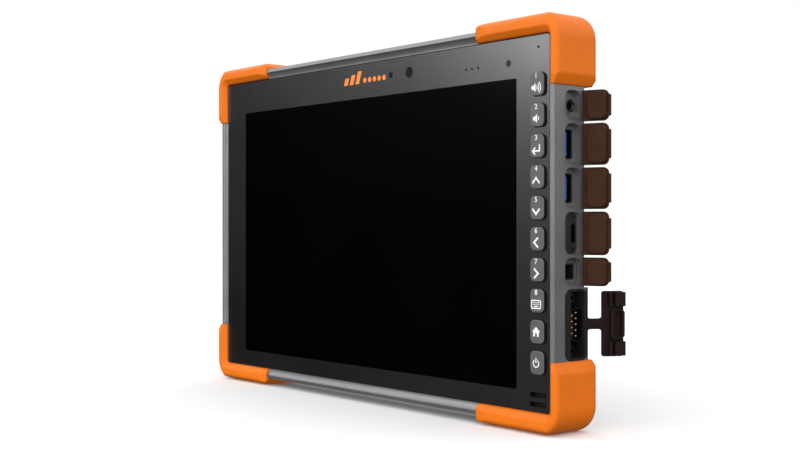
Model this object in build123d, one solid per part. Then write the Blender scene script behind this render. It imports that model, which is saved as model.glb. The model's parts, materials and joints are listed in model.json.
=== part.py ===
from build123d import *
import math
import os

# Rugged field tablet used as a survey data collector. Millimetres, +Z up, the screen faces -Y.
# While the pieces are made, X = 0 and Z = 0 are the middle of the body and Y = 0 is the front
# glass. At the end every piece is shifted so that the origin is the middle of the footprint,
# on the surface that the tablet stands on.

# ---- body ----
BODY_W = 290.0            # metal frame, side to side
BODY_H = 189.6            # metal frame, bottom to top
BODY_CORNER_R = 9.0
FRAME_BACK = 21.5         # rear edge of the metal frame
COVER_BACK = 24.0         # outer face of the rear cover
GLASS_X = (-139.7, 141.0)   # sides of the front panel, which is wider on the key side
GLASS_H = 177.9
GLASS_R = 1.5
FIT = 0.15                # gap round the front panel and other dropped-in pieces
RIM_RIDGE = 1.9           # how far the frame's rim stands in front of the glass
RIM_EDGE = 1.25           # the same at the outer side of the rim
RIM_CHAMFER = 2.05        # width of the rim's outer chamfer
WALL_IN_X = -GLASS_X[0] + FIT
WALL_RIGHT_X = GLASS_X[1] + FIT
WALL_IN_Z = GLASS_H / 2 + FIT
HALF_W = BODY_W / 2
HALF_H = BODY_H / 2

# ---- front panel, glass and display ----
PANEL_T = 2.6
WINDOW_W = 238.66
WINDOW_H = 149.16
WINDOW_Z = -4.9           # the window sits a little below the middle
GLASS_T = 1.4
GASKET_T = 0.4
LEDGE_W = 3.0             # ledge that the touch glass rests on
LCD_W = 231.0
LCD_H = 142.0
LCD_Y = (1.7, 5.1)

# ---- keys ----
KEY_NAMES = ("volume_up", "volume_down", "enter", "arrow_up", "arrow_down",
             "arrow_left", "arrow_right", "keyboard", "home", "power")
KEY_X = 134.0
KEY_W = 8.9
KEY_H = 11.2
KEY_R = 2.6
KEY_PITCH = 14.57
KEY_TOP_Z = 65.57
KEY_PROUD = 1.5
KEY_TRAVEL = 0.6
KEY_FLANGE = (2.7, 3.5)

# ---- bumpers ----
BUMPER_OUT_X = 148.1
BUMPER_OUT_Z = 99.6
BUMPER_FRONT_Z = 97.0       # the top face swells from here at the front
BUMPER_CROWN_Y = 6.0        # to its full height here
BUMPER_FRONT = -3.1
BUMPER_BACK = 26.0
BUMPER_CORNER_R = 13.0
BUMPER_ARM_X = 93.0       # where the top and bottom arms end
BUMPER_ARM_Z = 64.85      # where the side arms end
BUMPER_SET_IN = 1.5       # the frame is cut back by this much under a bumper
BUMPER_TAPER_X = 9.0      # length over which the top and bottom arms run out
BUMPER_TAPER_Z = 5.0      # the same on the side arms
BUMPER_END_Z = 1.6        # how far the top and bottom arms' ends stand off the frame
BUMPER_END_X = 0.5        # the same on the side arms
BUMPER_LIP_IN_X = 134.0   # inner edge of the lip that wraps round the back
BUMPER_LIP_IN_Z = 84.0
BUMPER_SEAT_BACK = 22.6   # the lip sits on the rear cover here
BUMPER_END_BACK = 24.3    # the lip thins to here at the arms' ends

# ---- port recesses in the right side ----
RECESS_Y = (6.1, 16.9)
RECESS_STEP = 0.35
RECESS_STEP_DEPTH = 1.7
RECESS_DEPTH = 3.3
RECESS_R = 3.8
# name: middle height and height of the recess
RECESSES = {"audio": (55.6, 14.2), "usb_upper": (37.4, 19.3), "usb_lower": (16.6, 19.3),
            "usb_c": (-4.7, 20.2), "power": (-22.8, 13.1)}
FLOOR_X = HALF_W - RECESS_DEPTH

# ---- port flaps, standing open ----
FLAP_AXIS_X = HALF_W + 0.75
FLAP_AXIS_Y = 18.7
FLAP_T = 1.4
FLAP_LEN = 12.0
FLAP_TAB = 13.0
FLAP_PLUG = (2.4, 11.6)
FLAP_PLUG_DEPTH = {"audio": 2.8, "usb_upper": 2.8, "usb_lower": 2.8, "usb_c": 2.0, "power": 2.8}
FLAP_OPEN_ANGLE = 22.0    # leans back from straight out
FLAP_OVERLAP = 0.2
FLAP_RELIEF = ((HALF_W + 1, 18.56), (138.5, 24.86))   # frame cut away at a slant behind the hinges

# ---- serial port and its cap ----
SERIAL_Y = 14.3
SERIAL_Z = -47.8
SURROUND_Y = (5.9, 21.8)
SURROUND_H = 33.9
SURROUND_FACE = HALF_W + 0.3
SURROUND_BACK_X = 138.9
SOCKET_Y = (9.7, 19.0)
SOCKET_H = 31.5
PIN_PITCH = 2.77
PIN_ROWS = 2.84
SCREW_SPACING = 24.99
CAP_AXIS = (146.1, 25.2)
CAP_ARM = 3.7             # from the strap's hinge line to the cap plate
CAP_W = 10.7
CAP_H = 31.2
CAP_T = 1.4
CAP_OPEN_ANGLE = 60.0
STRAP_H = 5.0
STRAP_T = 1.2

# ---- rear ----
BATTERY_X = 85.0          # half width
BATTERY_Z = (-80.0, -10.0)
BATTERY_Y = (12.5, 24.4)
LATCH_X = 62.0
LATCH_Z = -4.2
LATCH_TRAVEL = 6.0
MOUNT_SPACING = 75.0
MOUNT_Z = 38.0
INSERT_R = 2.9
INSERT_HOLE_R = 1.65
BOARD_Y = (16.6, 18.2)

# Holes and windows of the front panel
CAMERA = (39.9, 80.3, 2.95)          # x, z, radius of each hole in the front panel
STATUS_LIGHT = (24.6, 80.25, 1.65)
LIGHT_SENSOR = (113.9, 77.3, 1.7)
MIC_HOLES = ((83.9, 77.25), (88.35, 77.25), (92.75, 77.25), (133.7, 83.2))
MIC_R = 0.7
SPEAKER_SLOTS = ((133.4, -80.9), (133.4, -85.45))
SLOT_W = 10.5
SLOT_H = 2.4

# Antenna cover in the top rail
ANTENNA_X = (1.9, BUMPER_ARM_X - 0.05)

# Screws
SCREW_R = 1.25
SCREW_HEAD_R = 2.4
BUMPER_SCREW_PLACES = ((141.6, 74.0), (112.0, 91.1))
BUMPER_SCREWS = [(sx * x, sz * z) for sx in (-1, 1) for sz in (-1, 1) for x, z in BUMPER_SCREW_PLACES]

# Ports
JACK_Y = 13.4
JACK_R = 3.1
JACK_BORE_R = 1.8
USB_Y = 11.5
USB_CUT_W = 6.6
USB_CUT_H = 14.0
USB_SHELL = (5.7, 13.1)
USB_WALL = 0.3
USB_C_Y = 14.2
USB_C_SCREWS = 15.0
USB_C_PLATE_X = 142.6
POWER_Y = 12.1
POWER_W = 7.4
POWER_H = 7.8

parts = {}


# ---- helpers: prisms along each axis, from low and high limits ----
def prism_y(sketch, y0, y1):
    """Sketch in X and Z, extruded from y0 to y1."""
    return extrude(Plane.XZ.offset(-y1) * sketch, amount=y1 - y0)


def prism_x(sketch, x0, x1):
    """Sketch in Y and Z, extruded from x0 to x1."""
    return extrude(Plane.YZ.offset(x0) * sketch, amount=x1 - x0)


def prism_z(sketch, z0, z1):
    """Sketch in X and Y, extruded from z0 to z1."""
    return extrude(Plane.XY.offset(z0) * sketch, amount=z1 - z0)


def block(x, y, z):
    """Box between the limits x, y and z, each a pair."""
    size = [pair[1] - pair[0] for pair in (x, y, z)]
    middle = [(pair[1] + pair[0]) / 2 for pair in (x, y, z)]
    return Pos(*middle) * Box(*size)


def panel_y(x, z, w, h, r, y0, y1):
    """Rounded rectangle in X and Z, from y0 to y1."""
    return prism_y(Pos(x, z) * RectangleRounded(w, h, r), y0, y1)


def panel_x(y, z, w, h, r, x0, x1):
    """Rounded rectangle, w along Y and h along Z, from x0 to x1."""
    return prism_x(Pos(y, z) * RectangleRounded(w, h, r), x0, x1)


def rod_y(x, z, r, y0, y1):
    return prism_y(Pos(x, z) * Circle(r), y0, y1)


def rod_x(y, z, r, x0, x1):
    return prism_x(Pos(y, z) * Circle(r), x0, x1)


def middle(pair):
    return (pair[0] + pair[1]) / 2


def span(pair):
    return pair[1] - pair[0]


def key_heights():
    return [KEY_TOP_Z - KEY_PITCH * i for i in range(len(KEY_NAMES))]


# ---- front panel, glass, display ----
def make_front_panel():
    panel = panel_y(middle(GLASS_X), 0, span(GLASS_X), GLASS_H, GLASS_R, 0, PANEL_T)
    panel = chamfer(panel.faces().sort_by(Axis.Y)[0].edges(), 0.25)
    panel -= panel_y(0, WINDOW_Z, WINDOW_W, WINDOW_H, 0.8, 0, GLASS_T + GASKET_T)
    panel -= panel_y(0, WINDOW_Z, WINDOW_W - 2 * LEDGE_W, WINDOW_H - 2 * LEDGE_W, 0.8, 0, PANEL_T)
    for z in key_heights():
        panel -= panel_y(KEY_X, z, KEY_W + 0.3, KEY_H + 0.3, KEY_R + 0.15, 0, PANEL_T)
    for x, z, r in (CAMERA, STATUS_LIGHT, LIGHT_SENSOR):
        panel -= rod_y(x, z, r, 0, PANEL_T)
    for x, z in MIC_HOLES:
        panel -= rod_y(x, z, MIC_R, 0, PANEL_T)
    for x, z in SPEAKER_SLOTS:
        panel -= panel_y(x, z, SLOT_W, SLOT_H, 0.6, 0, PANEL_T)
    parts["front_panel"] = panel


def make_display():
    parts["touch_glass"] = panel_y(0, WINDOW_Z, WINDOW_W - 0.2, WINDOW_H - 0.2, 0.7, 0, GLASS_T)
    gasket = panel_y(0, WINDOW_Z, WINDOW_W - 0.4, WINDOW_H - 0.4, 0.7, GLASS_T, GLASS_T + GASKET_T)
    gasket -= panel_y(0, WINDOW_Z, WINDOW_W - 2 * LEDGE_W + 0.4, WINDOW_H - 2 * LEDGE_W + 0.4, 0.8,
                      GLASS_T, GLASS_T + GASKET_T)
    parts["display_gasket"] = gasket
    lcd = panel_y(0, WINDOW_Z, LCD_W, LCD_H, 0.8, LCD_Y[0], LCD_Y[1])
    # the driver board folded behind the lower edge
    lcd += block((-70, 70), (LCD_Y[1], LCD_Y[1] + 0.9), (WINDOW_Z - 68, WINDOW_Z - 58))
    parts["display_panel"] = lcd


def make_sensor_windows():
    camera_x, camera_z, camera_r = CAMERA
    windows = [rod_y(x, z, r - 0.03, 0.05, 1.1) for x, z, r in (CAMERA, STATUS_LIGHT, LIGHT_SENSOR)]
    parts["sensor_windows"] = Compound(windows)
    camera = rod_y(camera_x, camera_z, camera_r - 0.1, 1.15, PANEL_T)
    camera -= rod_y(camera_x, camera_z, 1.1, 1.15, 1.9)
    camera += block((camera_x - 4.2, camera_x + 4.2), (PANEL_T, 6.1), (camera_z - 4.2, camera_z + 4.2))
    parts["front_camera"] = camera


# ---- frame ----
def rim_section(inner, outer):
    """Front rim of the frame as (distance from the middle, Y): cove, ridge and chamfer."""
    ridge = outer - RIM_CHAMFER
    cove_mid = (inner + (ridge - inner) * 0.6, -RIM_RIDGE * 0.27)
    cove = ThreePointArc((inner, 0), cove_mid, (ridge, -RIM_RIDGE))
    top = Line((ridge, -RIM_RIDGE), (outer, -RIM_EDGE))
    side = Line((outer, -RIM_EDGE), (outer, 0.5))
    base = Polyline((outer, 0.5), (inner, 0.5), (inner, 0))
    return make_face(Curve() + [cove, top, side, base])


def make_frame():
    ring = panel_y(0, 0, BODY_W, BODY_H, BODY_CORNER_R, 0, FRAME_BACK)
    ring = fillet(ring.faces().sort_by(Axis.Y)[-1].edges(), 0.8)
    # straight rims between the bumpers
    ring += mirror(prism_z(rim_section(WALL_IN_X, HALF_W), -BUMPER_ARM_Z, BUMPER_ARM_Z), Plane.YZ)
    ring += prism_z(rim_section(WALL_RIGHT_X, HALF_W), -BUMPER_ARM_Z, BUMPER_ARM_Z)
    for side in (-1, 1):
        rail = extrude(Plane(origin=(-BUMPER_ARM_X, 0, 0), x_dir=(0, 0, 1), z_dir=(-1, 0, 0)).offset(
            -2 * BUMPER_ARM_X) * rim_section(WALL_IN_Z, HALF_H), amount=2 * BUMPER_ARM_X)
        ring += rail if side > 0 else mirror(rail, Plane.XY)
    pocket = (-WALL_IN_X, WALL_RIGHT_X)
    ring -= panel_y(middle(pocket), 0, span(pocket), 2 * WALL_IN_Z, GLASS_R, -5, PANEL_T + 0.02)
    ring -= panel_y(0, 0, 2 * WALL_IN_X, 2 * WALL_IN_Z, GLASS_R, 0, FRAME_BACK + 1)
    ring += frame_shelf()
    ring -= corner_cutbacks()
    ring -= frame_recesses()
    ring -= flap_relief()
    for x, z in BUMPER_SCREWS:
        ring -= rod_y(x, z, SCREW_R + 0.05, FRAME_BACK - 7.0, FRAME_BACK + 1)
    # the top rail's right half is a separate radio-transparent cover
    cover_cut = block((ANTENNA_X[0], ANTENNA_X[1]), (-5, FRAME_BACK + 1), (WALL_IN_Z, HALF_H + 1))
    parts["antenna_cover"] = make_antenna_cover(ring)
    parts["mid_frame"] = ring - cover_cut


def frame_shelf():
    """Ledge that the front panel rests on, along the left, top and bottom walls."""
    y0, y1 = PANEL_T + 0.02, PANEL_T + 2.4
    left = block((-WALL_IN_X - 0.5, -WALL_IN_X + 2.3), (y0, y1), (-WALL_IN_Z, WALL_IN_Z))
    top = block((-WALL_IN_X, 124), (y0, y1), (WALL_IN_Z - 2.3, WALL_IN_Z + 0.5))
    top -= block((ANTENNA_X[0] - 1, ANTENNA_X[1] + 1), (y0 - 1, y1 + 1), (WALL_IN_Z - 1, WALL_IN_Z + 1))
    bottom = block((-WALL_IN_X, 124), (y0, y1), (-WALL_IN_Z - 0.5, -WALL_IN_Z + 2.3))
    return left + top + bottom


def corner_cutbacks():
    """The frame is thinner under the four bumpers."""
    core = panel_y(0, 0, 2 * (HALF_W - BUMPER_SET_IN), 2 * (HALF_H - BUMPER_SET_IN),
                   BODY_CORNER_R - BUMPER_SET_IN, -10, 40)
    cut = []
    for sx in (-1, 1):
        for sz in (-1, 1):
            x = sorted((sx * BUMPER_ARM_X, sx * 160))
            z = sorted((sz * BUMPER_ARM_Z, sz * 110))
            cut.append(block(x, (-10, 40), z) - core)
    return Compound(cut)


def recess_cut(z, height, x_out):
    """Stepped pocket: the flap's plug goes in here."""
    y = middle(RECESS_Y)
    w = span(RECESS_Y)
    outer = panel_x(y, z, w, height, RECESS_R, HALF_W - RECESS_STEP_DEPTH, x_out)
    inner = panel_x(y, z, w - 2 * RECESS_STEP, height - 2 * RECESS_STEP, RECESS_R - RECESS_STEP,
                    FLOOR_X, x_out)
    return outer + inner


def flap_relief():
    """Slanted cut along the rear edge behind the flaps' hinges, through frame and rear cover."""
    front, back = FLAP_RELIEF
    corner = (front[0], back[1])
    section = make_face(Polyline(front, back, corner, close=True))
    return prism_z(section, SERIAL_Z + SURROUND_H / 2 + 0.4, BUMPER_ARM_Z)


def frame_recesses():
    cut = [recess_cut(z, height, HALF_W + 1) for z, height in RECESSES.values()]
    through = (WALL_IN_X - 4, FLOOR_X + 1)
    audio_z = RECESSES["audio"][0]
    cut.append(rod_x(JACK_Y, audio_z, JACK_R + 0.05, *through))
    for name in ("usb_upper", "usb_lower"):
        cut.append(panel_x(USB_Y, RECESSES[name][0], USB_CUT_W, USB_CUT_H, 0.8, *through))
    cut.append(panel_x(USB_C_Y, RECESSES["usb_c"][0], 4.4, 10.4, 2.1, *through))
    for side in (-1, 1):
        z = RECESSES["usb_c"][0] + side * USB_C_SCREWS / 2
        cut.append(rod_x(USB_C_Y, z, 1.6, *through))
    cut.append(panel_x(POWER_Y, RECESSES["power"][0], POWER_W, POWER_H, 0.6, *through))
    cut.append(panel_x(middle(SURROUND_Y), SERIAL_Z, span(SURROUND_Y), SURROUND_H, 4.0,
                       WALL_IN_X - 4, HALF_W + 1))
    cut.append(block((WALL_IN_X - 4, HALF_W + 1), (middle(SURROUND_Y), FRAME_BACK + 1),
                     (SERIAL_Z - SURROUND_H / 2 + 2.6, SERIAL_Z + SURROUND_H / 2 - 2.6)))
    return Compound(cut)


def make_antenna_cover(ring):
    rail = ring & block((ANTENNA_X[0] + 0.15, ANTENNA_X[1]), (-5, FRAME_BACK),
                        (WALL_IN_Z + 0.02, HALF_H + 1))
    pocket = block((8, 86), (4.0, 19.0), (WALL_IN_Z - 1, HALF_H - 1.6))
    return rail - pocket


def make_antennas():
    strips = []
    for x0, x1 in ((10, 44), (50, 84)):
        strips.append(block((x0, x1), (5.0, 18.0), (HALF_H - 3.0, HALF_H - 1.7)))
    parts["antennas"] = Compound(strips)


def make_chassis_plate():
    plate = panel_y(-6.5, 0, 259, 172, 4, 6.4, 7.4)
    for x in (-90, -30, 30, 90):
        for z in (-50, 50):
            plate -= panel_y(x, z, 44, 30, 5, 6, 8)
    for x in (-120, 0, 110):
        for z in (-80, 80):
            plate += rod_y(x, z, 3.0, 7.4, 10.4)
            plate -= rod_y(x, z, 1.25, 6, 11)
    parts["chassis_plate"] = plate


# ---- bumpers ----


def bumper_outline():
    """Top right corner seen from the front, with both arms running out towards the frame's sides."""
    x0, x1 = BUMPER_ARM_X, BUMPER_ARM_X + BUMPER_TAPER_X
    z0, z1 = BUMPER_ARM_Z, BUMPER_ARM_Z + BUMPER_TAPER_Z
    end_z = HALF_H + BUMPER_END_Z
    end_x = HALF_W + BUMPER_END_X
    rise = BUMPER_OUT_Z - end_z
    radius = (BUMPER_TAPER_X ** 2 + rise ** 2) / (2 * rise)
    half_turn = math.asin(BUMPER_TAPER_X / radius) / 2
    top_mid = (x1 - radius * math.sin(half_turn), BUMPER_OUT_Z - radius * (1 - math.cos(half_turn)))
    lines = [
        Line((x0, 70), (x0, end_z)),
        ThreePointArc((x0, end_z), top_mid, (x1, BUMPER_OUT_Z)),
        Polyline((x1, BUMPER_OUT_Z), (BUMPER_OUT_X, BUMPER_OUT_Z), (BUMPER_OUT_X, z1), (end_x, z0)),
        Polyline((end_x, z0), (120, z0), (120, 70), (x0, 70)),
    ]
    outline = make_face(Curve() + lines)
    soft = [v for v in outline.vertices() if v.X > BUMPER_OUT_X - 0.1 and v.Y < z1 + 1]
    outline = fillet(soft, 2.5)
    soft = [v for v in outline.vertices() if v.X < x0 + 0.1 and v.Y > HALF_H]
    return fillet(soft, 1.0)


def bumper_crown():
    """The bumpers' section seen from the side: top and bottom swell from the front edge backwards."""
    run = BUMPER_CROWN_Y - BUMPER_FRONT
    drop = BUMPER_OUT_Z - BUMPER_FRONT_Z
    radius = (run ** 2 + drop ** 2) / (2 * drop)
    half_turn = math.asin(run / radius) / 2
    y_mid = BUMPER_CROWN_Y - radius * math.sin(half_turn)
    z_mid = BUMPER_OUT_Z - radius * (1 - math.cos(half_turn))
    front, crown, back = BUMPER_FRONT, BUMPER_CROWN_Y, BUMPER_BACK
    lines = [
        Line((front, -BUMPER_FRONT_Z), (front, BUMPER_FRONT_Z)),
        ThreePointArc((front, BUMPER_FRONT_Z), (y_mid, z_mid), (crown, BUMPER_OUT_Z)),
        Polyline((crown, BUMPER_OUT_Z), (back, BUMPER_OUT_Z), (back, -BUMPER_OUT_Z), (crown, -BUMPER_OUT_Z)),
        ThreePointArc((crown, -BUMPER_OUT_Z), (y_mid, -z_mid), (front, -BUMPER_FRONT_Z)),
    ]
    return make_face(Curve() + lines)


def bumper_runouts():
    """Wedges taken off each arm's end, down to the frame's ridge in front and onto the lip behind."""
    low = -RIM_RIDGE - 0.1
    far = -8.0
    x0, x1 = BUMPER_ARM_X, BUMPER_ARM_X + 7.0
    top = make_face(Polyline((x0 - 1, low), (x0, low), (x1, BUMPER_FRONT), (x1, far), (x0 - 1, far),
                             close=True))
    z0, z1 = BUMPER_ARM_Z, BUMPER_ARM_Z + 5.0
    side = make_face(Polyline((low, z0 - 1), (low, z0), (BUMPER_FRONT, z1), (far, z1), (far, z0 - 1),
                              close=True))
    end, behind = BUMPER_END_BACK, 30.0
    top_back = make_face(Polyline((x0 - 1, end), (x0, end), (x1, BUMPER_BACK), (x1, behind),
                                  (x0 - 1, behind), close=True))
    side_back = make_face(Polyline((end, z0 - 1), (end, z0), (BUMPER_BACK, z1), (behind, z1),
                                   (behind, z0 - 1), close=True))
    return (prism_z(top, 75, 110) + prism_x(side, 130, 160)
            + prism_z(top_back, 75, 110) + prism_x(side_back, 125, 160))


def corner_bumper(opening_x):
    """Top right bumper. Its slope runs down to the glass at this distance from the middle."""
    shell = panel_y(0, 0, 2 * BUMPER_OUT_X, 2 * BUMPER_OUT_Z, BUMPER_CORNER_R, BUMPER_FRONT, BUMPER_BACK)
    shell = shell & prism_x(bumper_crown(), -BUMPER_OUT_X - 1, BUMPER_OUT_X + 1)
    shell = fillet(shell.faces().sort_by(Axis.Y)[0].edges(), 2.4)
    shell = fillet(shell.faces().sort_by(Axis.Y)[-1].edges(), 3.0)
    corner = shell & prism_y(bumper_outline(), BUMPER_FRONT - 1, BUMPER_BACK + 1)
    corner -= bumper_runouts()
    slope = Plane.XZ * RectangleRounded(2 * opening_x, 2 * WALL_IN_Z, GLASS_R)
    slope_angle = math.degrees(math.atan2(3.25, -BUMPER_FRONT))
    corner -= extrude(slope, amount=-BUMPER_FRONT + 1.5, taper=-slope_angle)
    # the seat on the frame and rear cover
    corner -= panel_y(0, 0, 2 * (HALF_W - BUMPER_SET_IN), 2 * (HALF_H - BUMPER_SET_IN),
                      BODY_CORNER_R - BUMPER_SET_IN, 0, BUMPER_SEAT_BACK)
    corner -= panel_y(0, 0, 2 * BUMPER_LIP_IN_X, 2 * BUMPER_LIP_IN_Z, 5, 0, BUMPER_BACK + 1)
    for x, z in BUMPER_SCREWS:
        corner -= rod_y(x, z, SCREW_R + 0.15, 20, BUMPER_BACK + 1)
        corner -= rod_y(x, z, SCREW_HEAD_R + 0.2, BUMPER_SEAT_BACK + 1.0, BUMPER_BACK + 1)
    return corner


def make_bumpers():
    right = corner_bumper(WALL_RIGHT_X)
    left = mirror(corner_bumper(WALL_IN_X), Plane.YZ)
    parts["bumper_top_right"] = right
    parts["bumper_top_left"] = left
    parts["bumper_bottom_right"] = mirror(right, Plane.XY)
    parts["bumper_bottom_left"] = mirror(left, Plane.XY)


def screw(x, z, head_back, head_r, length):
    """Pan head screw driven in from the back, with a cross recess."""
    body = rod_y(x, z, head_r, head_back - 1.5, head_back)
    body = fillet(body.faces().sort_by(Axis.Y)[-1].edges(), 0.4)
    body += rod_y(x, z, SCREW_R, head_back - length, head_back - 1.5)
    for w, h in ((2.4, 0.5), (0.5, 2.4)):
        body -= block((x - w / 2, x + w / 2), (head_back - 0.8, head_back + 1), (z - h / 2, z + h / 2))
    return body


def make_bumper_screws():
    head_back = BUMPER_SEAT_BACK + 1.0 + 1.5
    parts["bumper_screws"] = Compound([screw(x, z, head_back, SCREW_HEAD_R, 8.5) for x, z in BUMPER_SCREWS])


# ---- keys ----
def make_keys():
    domes = []
    seal = block((126.2, 139.5), (PANEL_T + 0.02, 4.4), (-74.6, 74.6))
    for name, z in zip(KEY_NAMES, key_heights()):
        cap = panel_y(KEY_X, z, KEY_W, KEY_H, KEY_R, -KEY_PROUD, KEY_FLANGE[0])
        cap = fillet(cap.faces().sort_by(Axis.Y)[0].edges(), 0.55)
        cap += block((KEY_X - KEY_W / 2 - 0.9, KEY_X + KEY_W / 2), KEY_FLANGE, (z - 6.3, z + 6.3))
        parts["key_" + name] = cap
        seal -= block((KEY_X - KEY_W / 2 - 1.1, 141), (2, 5), (z - 6.5, z + 6.5))
        domes.append(rod_y(KEY_X, z, 2.5, KEY_FLANGE[1] + KEY_TRAVEL + 0.1, 5.0))
    parts["key_seal"] = seal
    parts["key_domes"] = Compound(domes)
    parts["key_board"] = panel_y(132.5, 0, 12.4, 149, 1.0, 5.0, 5.85)


def make_speaker():
    x, z = SPEAKER_SLOTS[0][0], middle((SPEAKER_SLOTS[0][1], SPEAKER_SLOTS[1][1]))
    parts["speaker_mesh"] = panel_y(x, z, 12.0, 8.4, 1.0, PANEL_T + 0.02, PANEL_T + 0.35)
    box = panel_y(x, z, 12.0, 8.4, 1.0, PANEL_T + 0.4, 9.4)
    box -= panel_y(x, z, 10.0, 6.4, 1.0, PANEL_T + 0.3, 5.0)
    parts["speaker"] = box


# ---- ports ----
def make_audio_jack():
    z = RECESSES["audio"][0]
    body = block((127.0, 139.6), (JACK_Y - 3.1, JACK_Y + 3.1), (z - 3.4, z + 3.4))
    body += rod_x(JACK_Y, z, JACK_R, 139.0, FLOOR_X)
    body -= rod_x(JACK_Y, z, JACK_BORE_R, 128.0, FLOOR_X + 1)
    mouth = Plane.YZ.offset(FLOOR_X) * Pos(JACK_Y, z) * Circle(JACK_BORE_R + 0.7)
    body -= extrude(mouth, amount=-0.7, taper=44)
    parts["audio_jack"] = body


def make_usb_a():
    tongues = []
    w, h = USB_SHELL
    front = FLOOR_X - 0.5
    for name in ("usb_upper", "usb_lower"):
        z = RECESSES[name][0]
        shell = panel_x(USB_Y, z, w, h, 0.6, front - 14.0, front)
        shell -= panel_x(USB_Y, z, w - 2 * USB_WALL, h - 2 * USB_WALL, 0.4, front - 13.4, front + 1)
        for side in (-1, 1):
            # two sprung fingers in the wall opposite the tongue
            finger_z = z + side * 3.4
            shell += block((front - 6.5, front - 1.5), (USB_Y + w / 2 - 0.9, USB_Y + w / 2 - USB_WALL),
                           (finger_z - 0.9, finger_z + 0.9))
        parts["usb_a_" + name[4:]] = shell
        tongues.append(block((front - 13.3, front - 0.4), (USB_Y - 2.0, USB_Y + 0.2), (z - 5.55, z + 5.55)))
    parts["usb_a_tongues"] = Compound(tongues)


def make_usb_c():
    z = RECESSES["usb_c"][0]
    y = middle(RECESS_Y)
    w = span(RECESS_Y) - 2 * RECESS_STEP - 0.1
    h = RECESSES["usb_c"][1] - 2 * RECESS_STEP - 0.1
    plate = panel_x(y, z, w, h, RECESS_R - RECESS_STEP, FLOOR_X, USB_C_PLATE_X)
    for side in (-1, 1):
        plate += rod_x(USB_C_Y, z + side * USB_C_SCREWS / 2, 1.7, FLOOR_X, USB_C_PLATE_X + 0.3)
        plate += rod_x(USB_C_Y, z + side * USB_C_SCREWS / 2, 1.5, FLOOR_X - 3.5, FLOOR_X)
    plate -= prism_x(Pos(USB_C_Y, z) * SlotOverall(9.7, 3.7, rotation=90), FLOOR_X - 1, USB_C_PLATE_X + 1)
    for side in (-1, 1):
        plate -= rod_x(USB_C_Y, z + side * USB_C_SCREWS / 2, 0.8, FLOOR_X - 4, USB_C_PLATE_X + 1)
    parts["usb_c_plate"] = plate
    front = USB_C_PLATE_X - 0.3
    port = prism_x(Pos(USB_C_Y, z) * SlotOverall(8.94, 3.26, rotation=90), front - 8.5, front)
    port -= prism_x(Pos(USB_C_Y, z) * SlotOverall(8.34, 2.66, rotation=90), front - 7.5, front + 1)
    port += block((front - 8.0, front - 0.8), (USB_C_Y - 0.35, USB_C_Y + 0.35), (z - 3.3, z + 3.3))
    parts["usb_c_port"] = port


def make_power():
    z = RECESSES["power"][0]
    front = FLOOR_X - 0.2
    w, h = POWER_W - 0.1, POWER_H - 0.1
    body = panel_x(POWER_Y, z, w, h, 0.5, front - 12.0, front)
    body -= panel_x(POWER_Y, z, w - 1.4, h - 1.4, 0.4, front - 7.0, front + 1)
    pins = []
    for dy, dz in ((-1.3, 1.5), (-1.3, -1.5), (1.4, 1.5), (1.4, -1.5)):
        body -= rod_x(POWER_Y + dy, z + dz, 0.45, front - 12.5, front - 6)
        pins.append(rod_x(POWER_Y + dy, z + dz, 0.45, front - 12.0, front - 1.2))
    parts["power_socket"] = body
    parts["power_pins"] = Compound(pins)


def d_profile(w, h, r):
    """D shape of a nine-way connector: h along Z on the wide side, w along Y, wide side at the back."""
    slant = w * math.tan(math.radians(10))
    corners = [(w / 2, h / 2), (-w / 2, h / 2 - slant), (-w / 2, -h / 2 + slant), (w / 2, -h / 2)]
    face = make_face(Polyline(*corners, close=True))
    return fillet(face.vertices(), r)


def pin_places():
    """Five pins in the row nearer the back, four in the row nearer the front."""
    rear = [(SERIAL_Y + PIN_ROWS / 2, SERIAL_Z + PIN_PITCH * (i - 2)) for i in range(5)]
    front = [(SERIAL_Y - PIN_ROWS / 2, SERIAL_Z + PIN_PITCH * (i - 1.5)) for i in range(4)]
    return rear + front


def make_serial_port():
    where = Pos(SERIAL_Y, SERIAL_Z)
    flange_x = SURROUND_BACK_X - 0.8
    shell = prism_x(where * RectangleRounded(12.5, 30.8, 1.5), flange_x, SURROUND_BACK_X)
    shell += prism_x(where * d_profile(8.36, 16.92, 2.5), flange_x - 5.5, 144.3)
    shell -= prism_x(where * d_profile(7.56, 16.12, 2.1), flange_x - 6, 145)
    screws = []
    for side in (-1, 1):
        z = SERIAL_Z + side * SCREW_SPACING / 2
        shell -= rod_x(SERIAL_Y, z, 1.5, flange_x - 1, SURROUND_BACK_X + 1)
        nut = prism_x(Pos(SERIAL_Y, z) * RegularPolygon(2.37, 6, major_radius=False), SURROUND_BACK_X, 141.3)
        nut += rod_x(SERIAL_Y, z, 1.45, flange_x - 4, SURROUND_BACK_X)
        nut -= rod_x(SERIAL_Y, z, 1.2, flange_x - 2, 142)
        screws.append(nut)
    parts["serial_jackscrews"] = Compound(screws)
    insulator = prism_x(where * d_profile(7.5, 16.06, 2.1), flange_x - 5.5, SURROUND_BACK_X + 0.4)
    pins = []
    for y, z in pin_places():
        insulator -= rod_x(y, z, 0.5, flange_x - 6, 140)
        pin = rod_x(y, z, 0.5, flange_x - 9, 143.25)
        pins.append(fillet(pin.faces().sort_by(Axis.X)[-1].edges(), 0.3))
    parts["serial_shell"] = shell
    parts["serial_insulator"] = insulator
    parts["serial_pins"] = Compound(pins)


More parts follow.
